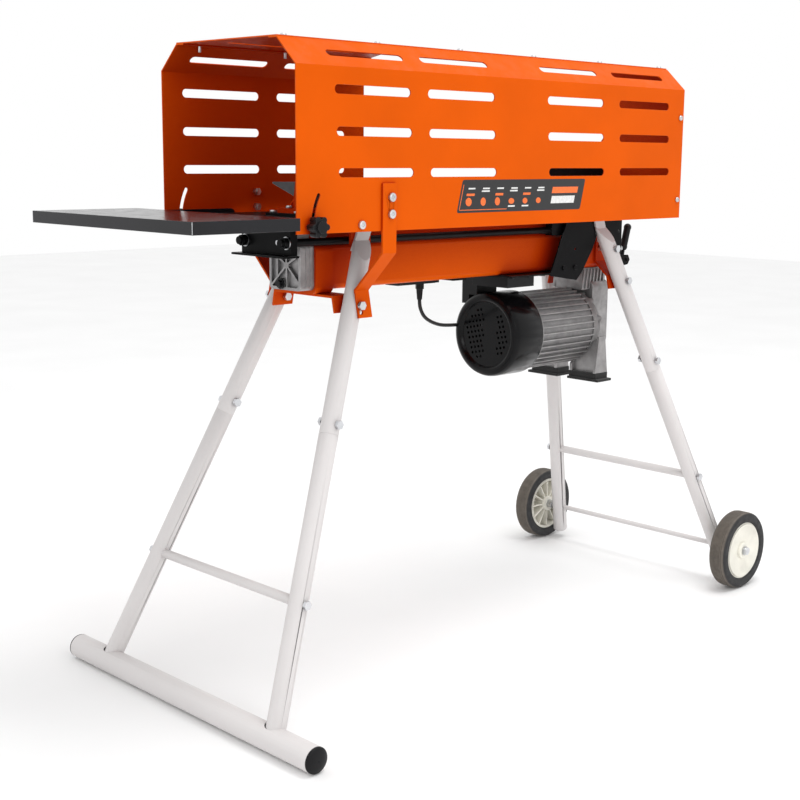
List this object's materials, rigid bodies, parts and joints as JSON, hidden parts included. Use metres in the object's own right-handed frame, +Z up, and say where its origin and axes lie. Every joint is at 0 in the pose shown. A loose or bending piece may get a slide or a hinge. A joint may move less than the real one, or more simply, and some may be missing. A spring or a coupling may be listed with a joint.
{
  "type": "electric log splitter",
  "caption": "Horizontal electric log splitter: slotted cage over a ram bed with a fixed wedge, fold-up log table, finned motor and pump, tube legs with a foot bar and wheels.",
  "frame": {"origin": "middle of the footprint on the ground", "axes": "+X along the ram from the log table to the wheels, +Y across towards the switch box side, +Z up"},
  "size_m": [1.4346, 0.661, 1.0754],
  "materials": {
    "orange": "gloss powder coat",
    "white": "satin powder coat",
    "black_paint": "satin paint",
    "table_black": "gloss powder coat",
    "cast_alu": "cast, slightly rough",
    "dark_iron": "dark, satin",
    "steel": "machined",
    "chromed": "polished",
    "zinc": "zinc plated",
    "black_plastic": "satin",
    "gloss_black": "gloss",
    "soft_rubber": "matt",
    "tyre": "matt, fine tread",
    "cream_plastic": "satin",
    "copper": "wound wire",
    "green_plastic": "gloss"
  },
  "bodies": {
    "frame": {"tank_beam": "orange", "front_end_cap": "cast_alu", "rear_end_cap": "black_paint", "cylinder_barrel": "steel", "oil_plug": "black_plastic", "bed_plate": "steel", "log_tray": "black_paint", "wedge_stand": "orange", "wedge": "dark_iron", "cage_near_half": "orange", "cage_far_half": "orange", "cage_top": "orange", "cage_end_plate": "orange", "brace_near": "orange", "brace_far": "orange", "cross_straps": "orange", "leg_front_near_upper": "white", "leg_front_far_upper": "white", "leg_rear_near_upper": "white", "leg_rear_far_upper": "white", "leg_front_near_lower": "white", "leg_front_far_lower": "white", "leg_rear_near_lower": "white", "leg_rear_far_lower": "white", "front_crossbar": "white", "rear_crossbar": "white", "foot_tube": "white", "foot_caps": "black_plastic", "frame_bolts": "zinc", "axle": "white", "motor_bracket": "black_paint", "lever_bracket": "black_paint", "capacitor_box": "black_plastic", "switch_box": "black_plastic", "motor_lead": "soft_rubber", "lead_glands": "black_plastic", "fan_cover": "gloss_black", "motor_body": "cast_alu", "stator": "copper", "end_bell": "cast_alu", "pump_neck": "cast_alu", "motor_boots": "soft_rubber"},
    "ram": {"ram_crosshead": "black_paint", "ram_rods": "black_paint", "piston_rod": "chromed", "ram_nuts": "zinc", "pusher": "black_paint"},
    "table": {"table": "table_black"},
    "knob_near": {"knob_near": "black_plastic"},
    "knob_far": {"knob_far": "black_plastic"},
    "wheel_near": {"tyre_near": "tyre", "rim_near": "cream_plastic"},
    "wheel_far": {"tyre_far": "tyre", "rim_far": "cream_plastic"},
    "rotor": {"rotor": "steel", "cooling_fan": "black_plastic"},
    "driven_gear": {"driven_gear": "steel"},
    "lever": {"control_lever": "black_plastic"},
    "spool": {"valve_spool": "steel"},
    "button": {"start_button": "green_plastic"}
  },
  "joints": [
    {"name": "ram_slide", "type": "slide", "parent": "frame", "child": "ram", "axis": [-1, 0, 0], "range_m": [0, 0.4]},
    {"name": "table_fold", "type": "hinge", "parent": "frame", "child": "table", "pos_m": [-0.3651, 0, 0.7897], "axis": [0, 1, 0], "range_deg": [0, 26]},
    {"name": "knob_near_turn", "type": "hinge", "parent": "table", "child": "knob_near", "pos_m": [-0.4651, -0.183, 0.7897], "axis": [0, -1, 0], "continuous": true},
    {"name": "knob_far_turn", "type": "hinge", "parent": "table", "child": "knob_far", "pos_m": [-0.4651, 0.183, 0.7897], "axis": [0, 1, 0], "continuous": true},
    {"name": "wheel_near_spin", "type": "hinge", "parent": "frame", "child": "wheel_near", "pos_m": [0.6363, -0.267, 0.081], "axis": [0, 1, 0], "continuous": true},
    {"name": "wheel_far_spin", "type": "hinge", "parent": "frame", "child": "wheel_far", "pos_m": [0.6363, 0.267, 0.081], "axis": [0, 1, 0], "continuous": true},
    {"name": "motor_spin", "type": "hinge", "parent": "frame", "child": "rotor", "pos_m": [0.2827, 0, 0.5574], "axis": [1, 0, 0], "continuous": true},
    {"name": "pump_gear_spin", "type": "hinge", "parent": "frame", "child": "driven_gear", "pos_m": [0.4087, 0, 0.5934], "axis": [1, 0, 0], "continuous": true},
    {"name": "lever_swing", "type": "hinge", "parent": "frame", "child": "lever", "pos_m": [0.5507, 0, 0.683], "axis": [0, -1, 0], "range_deg": [0, 14], "stiffness_Nm_per_rad": 2},
    {"name": "spool_shift", "type": "slide", "parent": "frame", "child": "spool", "axis": [-1, 0, 0], "range_m": [0, 0.006]},
    {"name": "button_press", "type": "slide", "parent": "frame", "child": "button", "axis": [0, -1, 0], "range_m": [0, 0.003], "stiffness_N_per_m": 300}
  ],
  "couplings": [
    {"joint": "pump_gear_spin", "follows": "motor_spin", "ratio": -1},
    {"joint": "spool_shift", "follows": "lever_swing", "m_per_rad": 0.024}
  ]
}
